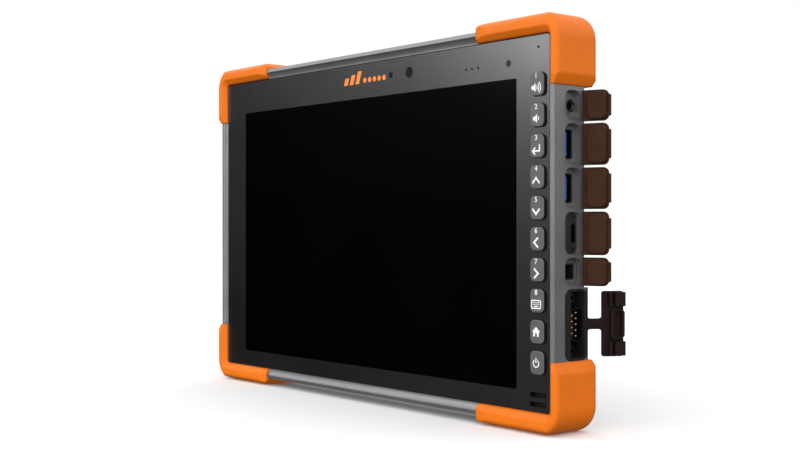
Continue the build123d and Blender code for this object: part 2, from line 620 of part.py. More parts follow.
def make_serial_surround():
    y = middle(SURROUND_Y)
    body = panel_x(y, SERIAL_Z, span(SURROUND_Y) - 0.1, SURROUND_H - 0.1, 4.0, SURROUND_BACK_X, SURROUND_FACE)
    body = fillet(body.faces().sort_by(Axis.X)[-1].edges(), 0.35)
    body -= panel_x(middle(SOCKET_Y), SERIAL_Z, span(SOCKET_Y), SOCKET_H, 1.5, SURROUND_BACK_X - 1,
                    SURROUND_FACE + 1)
    # two prongs carry the cap's strap
    ax, ay = CAP_AXIS
    stub = make_face(Polyline((144.0, SURROUND_Y[1] - 0.6), (SURROUND_FACE, SURROUND_Y[1] - 0.4),
                              (ax + 0.45, ay - 0.4), (ax, ay), (ax - 0.6, ay + 0.05),
                              (144.0, SURROUND_Y[1] + 0.6), close=True))
    stub += Pos(ax, ay) * Circle(STRAP_T / 2)
    for side in (-1, 1):
        z = sorted((SERIAL_Z + side * STRAP_H / 2, SERIAL_Z + side * 1.0))
        body += prism_z(stub, *z)
    parts["serial_surround"] = body


def place_open(piece, axis_xy, angle):
    """Pieces hinged on the right side are drawn along +X from their hinge line, then turned."""
    return Pos(axis_xy[0], axis_xy[1], 0) * Rot(0, 0, angle) * piece


def make_serial_cap():
    """Drawn with the hinge line at the origin and the plug towards -Y."""
    half_t = CAP_T / 2
    strap = block((0, CAP_ARM + 1), (-STRAP_T / 2, STRAP_T / 2), (SERIAL_Z - 0.9, SERIAL_Z + 0.9))
    strap += prism_z(Circle(STRAP_T / 2), SERIAL_Z - 0.9, SERIAL_Z + 0.9)
    wide = block((CAP_ARM - 0.2, CAP_ARM + 1), (-STRAP_T / 2, STRAP_T / 2),
                 (SERIAL_Z - STRAP_H / 2, SERIAL_Z + STRAP_H / 2))
    plate_mid = CAP_ARM + CAP_W / 2
    plate = panel_y(plate_mid, SERIAL_Z, CAP_W, CAP_H, 1.2, -half_t, half_t)
    cap = strap + wide + plate
    # socket line is this far from the hinge line when closed
    plug_mid = CAP_AXIS[1] - SERIAL_Y
    ring = prism_y(Pos(plug_mid, SERIAL_Z) * Rot(0, 0, 180) * d_profile(6.9, 15.4, 1.8), -half_t - 2.1, -half_t)
    ring -= panel_y(plug_mid + 0.2, SERIAL_Z, 3.8, 12.2, 0.6, -half_t - 3, -half_t)
    cap += ring
    for side in (-1, 1):
        z = sorted((SERIAL_Z + side * 8.4, SERIAL_Z + side * 14.8))
        cap += block((plug_mid - 4.3, plug_mid - 2.9), (-half_t - 2.3, half_t), z)
        z = sorted((SERIAL_Z + side * 8.4, SERIAL_Z + side * 15.1))
        cap += block((plug_mid - 1.35, plug_mid + 3.8), (-half_t - 2.3, half_t), z)
    parts["serial_cap"] = place_open(cap, CAP_AXIS, CAP_OPEN_ANGLE)


def make_flaps():
    for name, (z, recess_h) in RECESSES.items():
        height = recess_h + 2 * FLAP_OVERLAP
        half_t = FLAP_T / 2
        outline = Pos(FLAP_LEN / 2, z) * Rectangle(FLAP_LEN, height)
        tips = outline.vertices().group_by(Axis.X)[-1]
        outline = fillet(tips, 2.8)
        outline += Pos(FLAP_TAB - 2, z) * RectangleRounded(4.0, height * 0.7, 0.6)
        sheet = prism_y(outline, -half_t, half_t)
        sheet += prism_z(Circle(half_t), z - height / 2, z + height / 2)
        depth = FLAP_PLUG_DEPTH[name]
        plug = panel_y(middle(FLAP_PLUG), z, span(FLAP_PLUG), recess_h - 1.2, 2.8, -half_t - depth, 0)
        plug = fillet(plug.faces().sort_by(Axis.Y)[0].edges(), 0.6)
        flap = sheet + plug
        parts["flap_" + name] = place_open(flap, (FLAP_AXIS_X, FLAP_AXIS_Y), FLAP_OPEN_ANGLE)


# ---- electronics ----
def make_main_board():
    outline = make_face(Polyline((-100, -6), (88, -6), (88, -29), (126, -29), (126, 76), (-100, 76),
                                 close=True))
    board = prism_y(outline, *BOARD_Y)
    chips = ((0, 20, 24, 24, 2.0), (36, 24, 14, 12, 1.2), (36, 40, 14, 12, 1.2), (-40, 30, 22, 30, 2.4),
             (-78, 50, 18, 18, 1.6), (60, 10, 10, 10, 1.0), (104, -18, 10, 16, 6.0), (96, 60, 12, 20, 1.4))
    for x, z, w, h, t in chips:
        board += block((x - w / 2, x + w / 2), (BOARD_Y[0] - t, BOARD_Y[0]), (z - h / 2, z + h / 2))
    parts["main_board"] = board
    spreader = panel_y(8, 24, 84, 44, 4, 9.6, 10.8)
    spreader += block((-12, 12), (10.8, BOARD_Y[0] - 2.0), (8, 32))
    for i in range(7):
        x = -28 + 12 * i
        spreader += block((x, x + 1.2), (8.2, 9.6), (4, 44))
    parts["heat_spreader"] = spreader


# ---- rear ----
REAR_CAMERA = (-104.0, 70.0)
FLASH = (-90.0, 70.0)
CONTACT_ROW = [(-14 + 4 * i, -85.0) for i in range(8)]
COVER_SCREWS = [(sx * x, z) for sx in (-1, 1) for x, z in ((70, 84.5), (126, 50), (126, -40), (80, -84.6))]


def make_rear_cover():
    cover = panel_y(0, 0, BODY_W - 0.6, BODY_H - 0.6, BODY_CORNER_R, FRAME_BACK, COVER_BACK)
    cover = chamfer(cover.faces().sort_by(Axis.Y)[-1].edges(), 1.6)
    cover -= flap_relief()
    lip = panel_y(0, 0, 2 * WALL_IN_X - 0.3, 2 * WALL_IN_Z - 0.3, 2, FRAME_BACK - 1.5, FRAME_BACK)
    lip -= panel_y(0, 0, 2 * WALL_IN_X - 3.3, 2 * WALL_IN_Z - 3.3, 1, FRAME_BACK - 2, FRAME_BACK)
    lip -= block((132, 146), (15, 30), (SERIAL_Z - 22, SERIAL_Z + 22))
    cover += lip
    cover -= block((SURROUND_BACK_X - 3, HALF_W + 1), (10, SURROUND_Y[1] + 0.1),
                   (SERIAL_Z - SURROUND_H / 2 - 0.1, SERIAL_Z + SURROUND_H / 2 + 0.1))
    cover -= block((142.5, HALF_W + 1), (15, 40), (SERIAL_Z - STRAP_H / 2 - 0.4, SERIAL_Z + STRAP_H / 2 + 0.4))
    # seats for the bumpers' rear lips
    for sx in (-1, 1):
        for sz in (-1, 1):
            x = sorted((sx * BUMPER_ARM_X, sx * 160))
            z = sorted((sz * BUMPER_ARM_Z, sz * 110))
            seat = block(x, (BUMPER_SEAT_BACK, 40), z)
            seat -= panel_y(0, 0, 2 * BUMPER_LIP_IN_X - 0.2, 2 * BUMPER_LIP_IN_Z - 0.2, 5, 0, 50)
            edge = block(x, (0, 40), z) - panel_y(0, 0, 2 * (HALF_W - BUMPER_SET_IN),
                                                 2 * (HALF_H - BUMPER_SET_IN),
                                                 BODY_CORNER_R - BUMPER_SET_IN, -10, 50)
            cover -= seat
            cover -= edge
    bw, bh = 2 * BATTERY_X, span(BATTERY_Z)
    cover -= panel_y(0, middle(BATTERY_Z), bw + 0.6, bh + 0.6, 4.3, 10, 40)
    for x, z in BUMPER_SCREWS:
        cover -= rod_y(x, z, SCREW_R + 0.15, 15, 40)
    for x, z in COVER_SCREWS:
        cover -= rod_y(x, z, SCREW_R + 0.1, 15, 40)
        cover -= rod_y(x, z, SCREW_HEAD_R + 0.2, COVER_BACK - 1.2, 40)
    for x, z in mount_places():
        cover += rod_y(x, z, 5.0, FRAME_BACK - 2.0, COVER_BACK + 0.4)
        cover -= rod_y(x, z, INSERT_R, 15, 40)
    for sx in (-1, 1):
        cover -= panel_y(sx * (LATCH_X + LATCH_TRAVEL / 2), LATCH_Z, 24 + LATCH_TRAVEL, 8.6, 1.5,
                         COVER_BACK - 1.5, 40)
        cover -= block(sorted((sx * (LATCH_X - 6.2), sx * (LATCH_X + 6.2 + LATCH_TRAVEL))),
                       (20, 40), (LATCH_Z - 2.2, LATCH_Z + 2.2))
    cover -= rod_y(*REAR_CAMERA, 5.55, 15, 40)
    cover -= rod_y(*FLASH, 3.05, 15, 40)
    mid_x = middle((CONTACT_ROW[0][0], CONTACT_ROW[-1][0]))
    cover -= panel_y(mid_x, CONTACT_ROW[0][1], 34, 5.4, 1.2, COVER_BACK - 0.8, 40)
    for x, z in CONTACT_ROW:
        cover -= rod_y(x, z, 1.15, 15, 40)
    # shallow grip grooves beside the battery
    for sx in (-1, 1):
        for i in range(6):
            cover -= panel_y(sx * 108, -52 + 11 * i, 26, 4.0, 1.9, COVER_BACK - 0.6, 40)
    parts["rear_cover"] = cover


def mount_places():
    half = MOUNT_SPACING / 2
    return [(sx * half, MOUNT_Z + sz * half) for sx in (-1, 1) for sz in (-1, 1)]


def make_rear_fittings():
    parts["cover_screws"] = Compound([screw(x, z, COVER_BACK + 0.3, SCREW_HEAD_R, 6.0) for x, z in COVER_SCREWS])
    inserts = []
    for x, z in mount_places():
        insert = rod_y(x, z, INSERT_R, FRAME_BACK - 3.0, COVER_BACK + 0.3)
        insert -= rod_y(x, z, INSERT_HOLE_R, FRAME_BACK - 2.5, COVER_BACK + 1)
        inserts.append(insert)
    parts["mount_inserts"] = Compound(inserts)
    contacts = []
    for x, z in CONTACT_ROW:
        pad = rod_y(x, z, 1.1, 19.0, COVER_BACK - 0.6)
        contacts.append(fillet(pad.faces().sort_by(Axis.Y)[-1].edges(), 0.25))
    parts["dock_contacts"] = Compound(contacts)
    x, z = REAR_CAMERA
    camera = rod_y(x, z, 5.0, 18.4, COVER_BACK - 1.3)
    camera -= rod_y(x, z, 2.6, COVER_BACK - 2.2, COVER_BACK)
    camera += block((x - 5.5, x + 5.5), (18.3, 20.0), (z - 5.5, z + 5.5))
    lamp = rod_y(FLASH[0], FLASH[1], 2.4, 18.4, COVER_BACK - 1.3)
    parts["rear_camera"] = Compound([camera, lamp])
    window = rod_y(x, z, 5.5, COVER_BACK - 1.2, COVER_BACK - 0.1)
    lens = rod_y(FLASH[0], FLASH[1], 3.0, COVER_BACK - 1.2, COVER_BACK - 0.1)
    parts["rear_windows"] = Compound([window, lens])


def make_battery():
    z0, z1 = BATTERY_Z
    y0, y1 = BATTERY_Y
    pack = panel_y(0, middle(BATTERY_Z), 2 * BATTERY_X, span(BATTERY_Z), 4.0, y0, y1)
    pack = fillet(pack.faces().sort_by(Axis.Y)[-1].edges(), 0.8)
    # finger scoop at the lower edge
    pack -= panel_y(0, z0 + 3, 36, 10, 3, y1 - 1.6, y1 + 1)
    for i in range(5):
        pack -= panel_y(0, z0 + 18 + 9 * i, 120, 1.2, 0.5, y1 - 0.5, y1 + 1)
    for sx in (-1, 1):
        # pocket for the latch's hook, open to the back over its outer half
        pocket_x = sorted((sx * (LATCH_X - 5.3), sx * (LATCH_X + 5.3 + LATCH_TRAVEL)))
        pack -= block(pocket_x, (20.0, 22.6), (z1 - 3.0, z1 + 1))
        open_x = sorted((sx * (LATCH_X + LATCH_TRAVEL - 5.3), sx * (LATCH_X + 5.3 + LATCH_TRAVEL)))
        pack -= block(open_x, (20.0, y1 + 1), (z1 - 3.0, z1 + 1))
    parts["battery_pack"] = pack


def make_latches():
    for side, sx in (("left", -1), ("right", 1)):
        x = sx * LATCH_X
        pad = panel_y(x, LATCH_Z, 22.0, 8.2, 1.4, COVER_BACK - 1.45, COVER_BACK)
        pad = fillet(pad.faces().sort_by(Axis.Y)[-1].edges(), 0.4)
        for i in range(5):
            pad += panel_y(x - 5 + 2.5 * i, LATCH_Z, 1.0, 6.0, 0.4, COVER_BACK - 0.5, COVER_BACK + 0.6)
        stem = block((x - 5, x + 5), (20.3, COVER_BACK - 1.4), (LATCH_Z - 2.0, LATCH_Z + 2.0))
        hook = block((x - 5, x + 5), (20.3, 21.3), (BATTERY_Z[1] - 2.0, LATCH_Z))
        parts["battery_latch_" + side] = pad + stem + hook


make_front_panel()
make_display()
make_sensor_windows()
make_frame()
make_antennas()
make_chassis_plate()
make_bumpers()
make_bumper_screws()
make_keys()
make_speaker()
make_audio_jack()
make_usb_a()
make_usb_c()
make_power()
make_serial_port()
make_serial_surround()
make_serial_cap()
make_flaps()
make_main_board()
make_rear_cover()
make_rear_fittings()
make_battery()
make_latches()

# ---- shift to the footprint's middle and write ----
corners = [piece.bounding_box() for piece in parts.values()]
low = [min(tuple(box.min)[i] for box in corners) for i in range(3)]
high = [max(tuple(box.max)[i] for box in corners) for i in range(3)]
shift = Pos(-(low[0] + high[0]) / 2, -(low[1] + high[1]) / 2, -low[2])
print("shift", -(low[0] + high[0]) / 2, -(low[1] + high[1]) / 2, -low[2])
os.makedirs("parts", exist_ok=True)
for name, piece in parts.items():
    export_step(shift * piece, "parts/" + name + ".step")
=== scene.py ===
"""Looks, light and camera for the rugged field tablet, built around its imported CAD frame."""

import json
import math

import bmesh
import bpy
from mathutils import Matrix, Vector


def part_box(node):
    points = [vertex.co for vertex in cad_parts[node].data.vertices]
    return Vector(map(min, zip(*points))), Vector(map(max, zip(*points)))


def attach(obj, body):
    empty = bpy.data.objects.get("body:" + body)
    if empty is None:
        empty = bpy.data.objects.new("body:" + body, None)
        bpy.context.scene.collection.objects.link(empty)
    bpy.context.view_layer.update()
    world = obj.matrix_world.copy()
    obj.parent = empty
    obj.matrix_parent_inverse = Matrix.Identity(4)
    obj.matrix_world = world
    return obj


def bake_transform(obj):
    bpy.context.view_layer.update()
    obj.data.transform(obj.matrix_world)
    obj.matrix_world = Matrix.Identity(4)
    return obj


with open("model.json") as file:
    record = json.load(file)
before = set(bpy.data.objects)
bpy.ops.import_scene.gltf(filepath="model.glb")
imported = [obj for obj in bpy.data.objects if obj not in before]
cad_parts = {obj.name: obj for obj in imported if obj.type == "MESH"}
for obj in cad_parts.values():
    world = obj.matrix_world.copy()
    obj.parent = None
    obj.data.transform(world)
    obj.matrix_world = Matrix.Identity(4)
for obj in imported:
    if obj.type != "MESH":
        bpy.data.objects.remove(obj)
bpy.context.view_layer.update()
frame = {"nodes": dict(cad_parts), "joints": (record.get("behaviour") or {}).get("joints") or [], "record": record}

MM = 0.001
ROOT = "tablet"

# Places that everything else is worked out from, in metres.
WINDOW_LOW, WINDOW_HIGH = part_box("touch_glass")
WINDOW_CENTRE = Vector(((WINDOW_LOW.x + WINDOW_HIGH.x) / 2, WINDOW_LOW.y,
                        (WINDOW_LOW.z + WINDOW_HIGH.z) / 2))
PANEL_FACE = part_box("front_panel")[0].y

PRINT_PROUD = 0.03 * MM       # how far ink stands off the surface that it is printed on
PRINT_DEPTH = 0.02 * MM       # how far it reaches into that surface


def add_object(name, data):
    """An object with this mesh, light, curve or camera, linked into the scene."""
    piece = bpy.data.objects.new(name, data)
    bpy.context.scene.collection.objects.link(piece)
    return piece


# ---------------------------------------------------------------- materials

NOISE_RANGE = (0.3, 0.7)              # where most of a noise texture's values lie
FINE_SHARE = 0.4                      # how much of a surface's tone follows its fine grain
BEVEL_SAMPLES = 6
KEY_FRONT_TURN = (-0.25, -0.55)       # a key's sides are painted dark as painted shade; its paint fades in as its surface turns to the front
# the colour of a key's sides: painted shade
KEY_SIDE_PAINTED_SHADE = (0.004, 0.004, 0.004)
WEAVE_SCALE = 700
WEAVE_GAP = (0.004, 0.004, 0.004)
WEAVE_EDGE = (0.1, 0.6)               # heights between which the weave's tone changes
TRACK_SCALE = 160
TRACK_WIDTH = 0.04
MASK_TONES = ((0.010, 0.060, 0.030, 1), (0.012, 0.075, 0.036, 1))
TRACK_TONE = (0.03, 0.13, 0.06, 1)


def shader(name):
    """A new material, and its principled shader."""
    material = bpy.data.materials.new(name)
    material.use_nodes = True
    return material, material.node_tree.nodes["Principled BSDF"]


def noise(tree, size, detail, stretch=(1, 1, 1)):
    """Noise whose features are about size metres across, fixed to the object."""
    place = tree.nodes.new("ShaderNodeTexCoord")
    scale = tree.nodes.new("ShaderNodeMapping")
    scale.inputs["Scale"].default_value = stretch
    texture = tree.nodes.new("ShaderNodeTexNoise")
    texture.inputs["Scale"].default_value = 1.0 / size
    texture.inputs["Detail"].default_value = detail
    tree.links.new(place.outputs["Object"], scale.inputs["Vector"])
    tree.links.new(scale.outputs["Vector"], texture.inputs["Vector"])
    return texture.outputs["Fac"]


def ramp(tree, value, low, high, start=0.35, end=0.65):
    """A colour that runs from low to high as value runs from start to end."""
    node = tree.nodes.new("ShaderNodeValToRGB")
    node.color_ramp.elements[0].position = start
    node.color_ramp.elements[0].color = (*low, 1)
    node.color_ramp.elements[1].position = end
    node.color_ramp.elements[1].color = (*high, 1)
    tree.links.new(value, node.inputs["Fac"])
    return node.outputs["Color"]


def spread(tree, value, source, target):
    """value, with the range source spread over the range target."""
    node = tree.nodes.new("ShaderNodeMapRange")
    node.inputs["From Min"].default_value, node.inputs["From Max"].default_value = source
    node.inputs["To Min"].default_value, node.inputs["To Max"].default_value = target
    tree.links.new(value, node.inputs["Value"])
    return node.outputs["Result"]


def combine(tree, operation, first, second):
    """Two values put together by a maths node."""
    node = tree.nodes.new("ShaderNodeMath")
    node.operation = operation
    tree.links.new(first, node.inputs[0])
    tree.links.new(second, node.inputs[1])
    return node.outputs["Value"]


def bump(tree, height, depth, strength):
    """Gives the shader's surface a relief of this depth in metres."""
    node = tree.nodes.new("ShaderNodeBump")
    node.inputs["Distance"].default_value = depth
    node.inputs["Strength"].default_value = strength
    tree.links.new(height, node.inputs["Height"])
    tree.links.new(node.outputs["Normal"], tree.nodes["Principled BSDF"].inputs["Normal"])


def surface(name, colour, rough, metal=0.0, specular=0.5, grain=0.4 * MM, relief=0.02 * MM,
            strength=0.25, vary=0.12, patch=18 * MM, rounding=0.0, stretch=(1, 1, 1)):
    """A moulded, painted or metal surface: fine grain in its relief, slow changes of tone and gloss.

    Where rounding is given, its edges look rounded by that radius."""
    material, principled = shader(name)
    tree = material.node_tree
    low = tuple(c * (1 - vary) for c in colour)
    high = tuple(min(1.0, c * (1 + vary)) for c in colour)
    fine = noise(tree, grain, 2.0, stretch)
    broad = noise(tree, patch, 4.0)
    mixed = tree.nodes.new("ShaderNodeMix")
    mixed.data_type = "RGBA"
    mixed.blend_type = "MIX"
    tree.links.new(ramp(tree, broad, low, high), mixed.inputs["A"])
    tree.links.new(ramp(tree, fine, low, high), mixed.inputs["B"])
    mixed.inputs["Factor"].default_value = FINE_SHARE
    tree.links.new(mixed.outputs["Result"], principled.inputs["Base Color"])
    gloss = spread(tree, broad, NOISE_RANGE, (rough * 0.9, min(1.0, rough * 1.1)))
    tree.links.new(gloss, principled.inputs["Roughness"])
    bump(tree, fine, relief, strength)
    principled.inputs["Metallic"].default_value = metal
    principled.inputs["Specular IOR Level"].default_value = specular
    if rounding:
        soft_edge = tree.nodes.new("ShaderNodeBevel")
        soft_edge.samples = BEVEL_SAMPLES
        soft_edge.inputs["Radius"].default_value = rounding
        tree.links.new(soft_edge.outputs["Normal"], tree.nodes["Bump"].inputs["Normal"])
    return material


def key_with_painted_shade_sides(name, face):
    """A key with a painted front and sides painted dark as painted shade, told apart by which way the surface
    looks.
    """
    material = surface(name, face, 0.5, grain=0.25 * MM, relief=0.02 * MM, strength=0.35, vary=0.08,
                       patch=5 * MM)
    tree = material.node_tree
    principled = tree.nodes["Principled BSDF"]
    paint = principled.inputs["Base Color"].links[0].from_socket
    place = tree.nodes.new("ShaderNodeTexCoord")
    split = tree.nodes.new("ShaderNodeSeparateXYZ")
    mixed = tree.nodes.new("ShaderNodeMix")
    mixed.data_type = "RGBA"
    mixed.inputs["A"].default_value = (*KEY_SIDE_PAINTED_SHADE, 1)
    # painted shade: surfaces that turn away from the front take the dark side colour
    tree.links.new(place.outputs["Normal"], split.inputs["Vector"])
    tree.links.new(spread(tree, split.outputs["Y"], KEY_FRONT_TURN, (0, 1)), mixed.inputs["Factor"])
    tree.links.new(paint, mixed.inputs["B"])
    tree.links.new(mixed.outputs["Result"], principled.inputs["Base Color"])
    return material


def mesh_weave(name, colour):
    """A woven wire mesh, from two crossed waves."""
    material, principled = shader(name)
    tree = material.node_tree
    place = tree.nodes.new("ShaderNodeTexCoord")
    waves = []
    for direction in ("X", "Z"):
        wave = tree.nodes.new("ShaderNodeTexWave")
        wave.bands_direction = direction
        wave.inputs["Scale"].default_value = WEAVE_SCALE
        tree.links.new(place.outputs["Object"], wave.inputs["Vector"])
        waves.append(wave.outputs["Fac"])
    both = combine(tree, "MULTIPLY", *waves)
    tree.links.new(ramp(tree, both, WEAVE_GAP, colour, *WEAVE_EDGE), principled.inputs["Base Color"])
    bump(tree, both, 0.1 * MM, 0.8)
    principled.inputs["Metallic"].default_value = 0.6
    principled.inputs["Roughness"].default_value = 0.5
    return material


def circuit(name):
    """Solder mask with faint tracks under it."""
    material, principled = shader(name)
    tree = material.node_tree
    place = tree.nodes.new("ShaderNodeTexCoord")
    tracks = tree.nodes.new("ShaderNodeTexBrick")
    tracks.inputs["Scale"].default_value = TRACK_SCALE
    tracks.inputs["Mortar Size"].default_value = TRACK_WIDTH
    tracks.inputs["Color1"].default_value, tracks.inputs["Color2"].default_value = MASK_TONES
    tracks.inputs["Mortar"].default_value = TRACK_TONE
    tree.links.new(place.outputs["Object"], tracks.inputs["Vector"])
    tree.links.new(tracks.outputs["Color"], principled.inputs["Base Color"])
    bump(tree, tracks.outputs["Fac"], 0.03 * MM, 0.4)
    principled.inputs["Roughness"].default_value = 0.35
    return material


def build_materials():
    """The finish of each of the record's material slots, and of the two inks."""
    brushed = (1, 1, 12)
    return {
        "bezel": surface("bezel", (0.0045, 0.0045, 0.0048), 0.24, specular=0.9, grain=0.25 * MM,
                         relief=0.004 * MM, strength=0.2, vary=0.05, patch=40 * MM),
        "touch_glass": surface("touch_glass", (0.0004, 0.0004, 0.0005), 0.13, specular=0.03,
                               grain=2 * MM, relief=0.002 * MM, strength=0.05, vary=0.3, patch=60 * MM),
        "black_foam": surface("black_foam", (0.012, 0.012, 0.012), 0.9, grain=0.5 * MM, relief=0.1 * MM,
                              strength=0.6),
        "display": surface("display", (0.004, 0.004, 0.005), 0.2, grain=0.2 * MM, relief=0.004 * MM),
        "sensor_window": surface("sensor_window", (0.005, 0.005, 0.0055), 0.18, specular=0.14,
                                 grain=0.5 * MM, relief=0.002 * MM, strength=0.1),
        "camera_module": surface("camera_module", (0.01, 0.01, 0.011), 0.3, grain=0.3 * MM),
        "antenna_cover": surface("antenna_cover", (0.21, 0.21, 0.212), 0.38, metal=0.65, grain=0.30 * MM,
                                 relief=0.02 * MM, strength=0.3, vary=0.08),
        "frame_paint": surface("frame_paint", (0.21, 0.21, 0.212), 0.38, metal=0.65, grain=0.30 * MM,
                               relief=0.02 * MM, strength=0.3, vary=0.08),
        "antenna_copper": surface("antenna_copper", (0.72, 0.36, 0.2), 0.3, metal=1.0, stretch=brushed),
        "magnesium": surface("magnesium", (0.35, 0.35, 0.35), 0.5, metal=0.8, grain=0.6 * MM,
                             relief=0.05 * MM),
        "screw_steel": surface("screw_steel", (0.06, 0.06, 0.064), 0.35, metal=0.9, grain=0.2 * MM),
        "black_silicone": surface("black_silicone", (0.016, 0.016, 0.017), 0.75, grain=0.4 * MM),
        "dome_steel": surface("dome_steel", (0.6, 0.6, 0.6), 0.22, metal=1.0, stretch=brushed),
        "circuit_board": circuit("circuit_board"),
        "speaker_mesh": mesh_weave("speaker_mesh", (0.004, 0.004, 0.004)),
        "black_plastic": surface("black_plastic", (0.010, 0.010, 0.0105), 0.5, grain=0.3 * MM),
        # connector shells: metal darkened as painted shade for the inside of the port openings
        "shell_dark": surface("shell_dark", (0.05, 0.05, 0.052), 0.34, metal=1.0, grain=0.3 * MM,
                              relief=0.006 * MM),
        "usb_blue": surface("usb_blue", (0.010, 0.115, 0.38), 0.35, grain=0.4 * MM, relief=0.01 * MM),
        "port_plate": surface("port_plate", (0.018, 0.018, 0.019), 0.45, grain=0.3 * MM),
        "gold": surface("gold", (0.80, 0.42, 0.22), 0.28, metal=1.0, grain=0.4 * MM, relief=0.004 * MM),
        "surround_rubber": surface("surround_rubber", (0.008, 0.008, 0.0085), 0.6, specular=0.22,
                                   grain=0.35 * MM, relief=0.03 * MM, strength=0.35),
        # flap rubber: dark rubber, with a brown tint painted in as painted reflection of the orange bumpers
        "flap_rubber": surface("flap_rubber", (0.043, 0.0175, 0.0090), 0.6, specular=0.10,
                               grain=0.35 * MM, relief=0.03 * MM, strength=0.35, vary=0.15, patch=6 * MM),
        "cap_rubber": surface("cap_rubber", (0.010, 0.0048, 0.0034), 0.6, specular=0.14,
                              grain=0.35 * MM, relief=0.03 * MM, strength=0.35, vary=0.15, patch=6 * MM),
        "spreader_aluminium": surface("spreader_aluminium", (0.6, 0.6, 0.6), 0.35, metal=1.0,
                                      stretch=brushed),
        "cover_plastic": surface("cover_plastic", (0.045, 0.045, 0.047), 0.55, grain=0.5 * MM,
                                 relief=0.06 * MM, strength=0.45),
        "brass": surface("brass", (0.7, 0.5, 0.22), 0.32, metal=1.0, grain=0.3 * MM),
        "rear_window": surface("rear_window", (0.004, 0.004, 0.005), 0.08, grain=1 * MM,
                               relief=0.001 * MM),
        "battery_case": surface("battery_case", (0.03, 0.03, 0.032), 0.5, grain=0.45 * MM,
                                relief=0.05 * MM, strength=0.45),
        "latch_plastic": surface("latch_plastic", (0.72, 0.18, 0.012), 0.42, grain=0.3 * MM,
                                 relief=0.02 * MM),
        "bumper_rubber": surface("bumper_rubber", (0.74, 0.160, 0.005), 0.5, specular=0.22,
                                 grain=0.35 * MM, relief=0.025 * MM, strength=0.3, vary=0.05,
                                 patch=25 * MM, rounding=1.6 * MM),
        "key_rubber": key_with_painted_shade_sides("key_rubber", (0.085, 0.085, 0.087)),
        "print_white": surface("print_white", (0.80, 0.80, 0.80), 0.5, grain=0.2 * MM,
                               relief=0.004 * MM, vary=0.04),
        "print_orange": surface("print_orange", (0.90, 0.22, 0.03), 0.45, grain=0.2 * MM,
                                relief=0.004 * MM, vary=0.04),
    }


def dress_frame(finish):
    """Gives every CAD node the finish of its slot."""
    for part in frame["record"]["subparts"]:
        node = frame["nodes"][part["node"]]
        node.data.materials.clear()
        node.data.materials.append(finish[part["material_slot"]])


# ---------------------------------------------------------------- flat outlines, in millimetres

def arc(centre, radius, start, end, steps=16):
    """Points along an arc, with its angles in degrees."""
    return [(centre[0] + radius * math.cos(math.radians(start + (end - start) * i / steps)),
             centre[1] + radius * math.sin(math.radians(start + (end - start) * i / steps)))
            for i in range(steps + 1)]


def disc(centre, radius):
    """A disc's outline."""
    return arc(centre, radius, 0, 345, 23)


def rounded(centre, width, height, radius):
    """A rounded rectangle's outline."""
    loop = []
    for sx, sz, start in ((1, 1, 0), (-1, 1, 90), (-1, -1, 180), (1, -1, 270)):
        corner = (centre[0] + sx * (width / 2 - radius), centre[1] + sz * (height / 2 - radius))
        loop += arc(corner, radius, start, start + 90, 6)
    return loop


def stroke(points, width):
    """The outline of a line of this width through the points, with mitred bends and square ends."""
    sides = ([], [])
    for i, point in enumerate(points):
        here = Vector(point)
        before = (here - Vector(points[i - 1])).normalized() if i else None
        after = (Vector(points[i + 1]) - here).normalized() if i + 1 < len(points) else None
        along = ((before or after) + (after or before)).normalized()
        across = Vector((-along.y, along.x))
        reach = width / 2 / max(0.3, along.dot(before or after))
        sides[0].append(tuple(here + across * reach))
        sides[1].append(tuple(here - across * reach))
    return sides[0] + sides[1][::-1]


def printed(name, shapes, centre, face, body, material):
    """A thin piece on a face that looks along -Y, such as ink.

    Each shape is a list of outlines in millimetres from centre, an inner one being a hole."""
    together = bmesh.new()
    for shape in shapes:
        curve = bpy.data.curves.new(name, "CURVE")
        curve.dimensions = "2D"
        curve.fill_mode = "BOTH"
        curve.extrude = (PRINT_PROUD + PRINT_DEPTH) / 2
        for loop in shape:
            spline = curve.splines.new("POLY")
            spline.points.add(len(loop) - 1)
            spline.use_cyclic_u = True
            for point, (x, z) in zip(spline.points, loop):
                point.co = (x * MM, z * MM, 0, 1)
        carrier = add_object(name, curve)
        bpy.context.view_layer.update()
        mesh = bpy.data.meshes.new_from_object(carrier)
        together.from_mesh(mesh)
        bpy.data.objects.remove(carrier)
        bpy.data.meshes.remove(mesh)
    middle = face - (PRINT_PROUD - PRINT_DEPTH) / 2
    for vertex in together.verts:
        x, z, depth = vertex.co
        vertex.co = (centre[0] + x, middle - depth, centre[1] + z)
    bmesh.ops.recalc_face_normals(together, faces=together.faces)
    mesh = bpy.data.meshes.new(name)
    together.to_mesh(mesh)
    together.free()
    mesh.materials.append(material)
    piece = add_object(name, mesh)
    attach(piece, body)


# ---------------------------------------------------------------- what is printed on the keys

# Line widths and places on a key, in millimetres. The icons' points are in millimetres from their middle.
ENTER_LINE = 0.78
CHEVRON_LINE = 0.95
WAVE_LINE = 0.5
POWER_LINE = 0.6
ICON_LOW = -1.7                # height of an icon that has a number above it, from the key's middle
ICON_HIGH = -0.1               # and of one that has none
NUMBERED_KEYS = 8
NUMERAL_HEIGHT = 2.4
NUMERAL_PLACE = 4.0
CAPITAL_SHARE = 0.7            # a capital's height as a share of the font's size
NUMERAL_WEIGHT = 0.05 * MM     # how much the numbers' outlines are thickened


def speaker_icon(waves):
    """A loudspeaker with its sound waves."""
    left = -2.9 if waves > 1 else -1.9
    cone = [(left, 0.85), (left + 1.1, 0.85), (left + 2.6, 2.1),
            (left + 2.6, -2.1), (left + 1.1, -0.85), (left, -0.85)]
    shapes = [[cone]]
    for i in range(waves):
        radius = 1.1 + 1.15 * i
        shapes.append([stroke(arc((left + 2.5, 0), radius, -48, 48), WAVE_LINE)])
    return shapes


def enter_icon():
    """An arrow that comes down and turns left."""
    tail = stroke([(2.2, 2.4), (2.2, -0.7), (-1.4, -0.7)], ENTER_LINE)
    head = stroke([(-0.5, 1.0), (-2.2, -0.7), (-0.5, -2.4)], ENTER_LINE)
    return [[tail], [head]]


